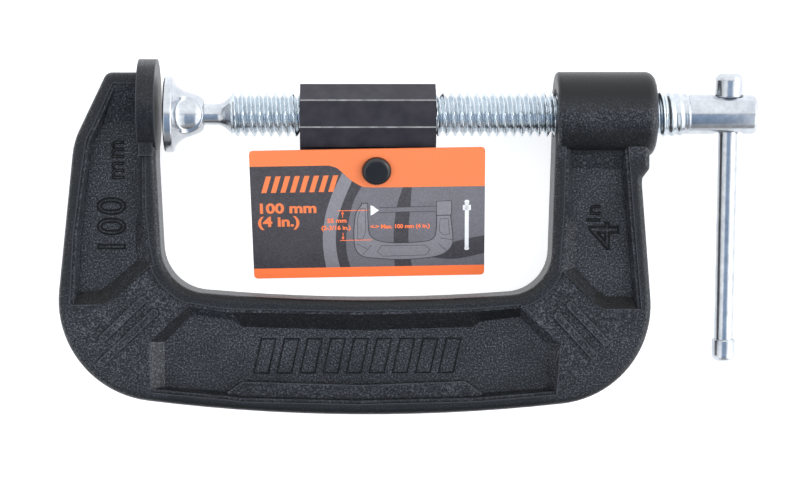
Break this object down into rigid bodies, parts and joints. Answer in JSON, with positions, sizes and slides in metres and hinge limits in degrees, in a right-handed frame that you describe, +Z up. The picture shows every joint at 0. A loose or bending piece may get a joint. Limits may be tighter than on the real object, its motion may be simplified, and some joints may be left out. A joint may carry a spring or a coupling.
{
  "type": "c clamp",
  "caption": "black cast-iron c clamp lying flat, zinc screw with swivel pad and sliding tommy bar, folded card sleeve and printed hang tag on the screw",
  "frame": {"origin": "centre line of the screw on the flat fixed jaw face (the face of the anvil disc)", "axes": "+X along the screw from the fixed jaw to the T-bar end, +Y from the spine towards the screw side, +Z up, normal to the side of the casting; the clamp lies flat on a table below -Z"},
  "size_m": [0.208, 0.1058, 0.0286],
  "materials": {
    "black_casting": "black textured powder coat on cast iron",
    "zinc_steel": "zinc-plated steel",
    "zinc_turned": "turned zinc-plated steel",
    "black_card": "folded black card, satin varnish, worn white at the folds",
    "printed_card": "printed card, orange with grey fields",
    "black_plastic": "glossy black moulded plastic"
  },
  "bodies": {
    "casting": {"frame": "black_casting"},
    "ball": {"screw_ball": "zinc_steel"},
    "spindle": {"screw": "zinc_steel"},
    "bar": {"t_bar": "zinc_steel", "bar_cap_upper": "zinc_turned", "bar_cap_lower": "zinc_turned"},
    "pad": {"swivel_pad": "zinc_turned"},
    "sleeve": {"card_sleeve": "black_card"},
    "tag": {"hang_tag": "printed_card", "card_flaps": "black_card", "rivet_head": "black_plastic", "rivet_cap": "black_plastic"}
  },
  "joints": [
    {"name": "screw_travel", "type": "slide", "parent": "casting", "child": "ball", "axis": [1, 0, 0], "range_m": [-0.00091, 0.0488]},
    {"name": "screw_spin", "type": "hinge", "parent": "ball", "child": "spindle", "pos_m": [0.0093, 0, 0], "axis": [1, 0, 0], "range_deg": [-130, 7020]},
    {"name": "bar_slide", "type": "slide", "parent": "spindle", "child": "bar", "axis": [0, 0.9969, 0.0785], "range_m": [0, 0.0629]},
    {"name": "pad_tilt", "type": "hinge", "parent": "ball", "child": "pad", "pos_m": [0.0093, 0, 0], "axis": [0, 0, 1], "range_deg": [-5, 5]},
    {"name": "card_slide", "type": "slide", "parent": "casting", "child": "sleeve", "axis": [1, 0, 0], "range_m": [-0.00035, 0.01833]},
    {"name": "tag_swing", "type": "hinge", "parent": "sleeve", "child": "tag", "pos_m": [0.0623, -0.0102, 0.006], "axis": [-1, 0, 0], "range_deg": [0, 30]}
  ],
  "couplings": [
    {"joint": "screw_travel", "follows": "screw_spin", "m_per_rad": 0.00039789},
    {"joint": "card_slide", "follows": "screw_spin", "m_per_rad": 0.00014921}
  ]
}
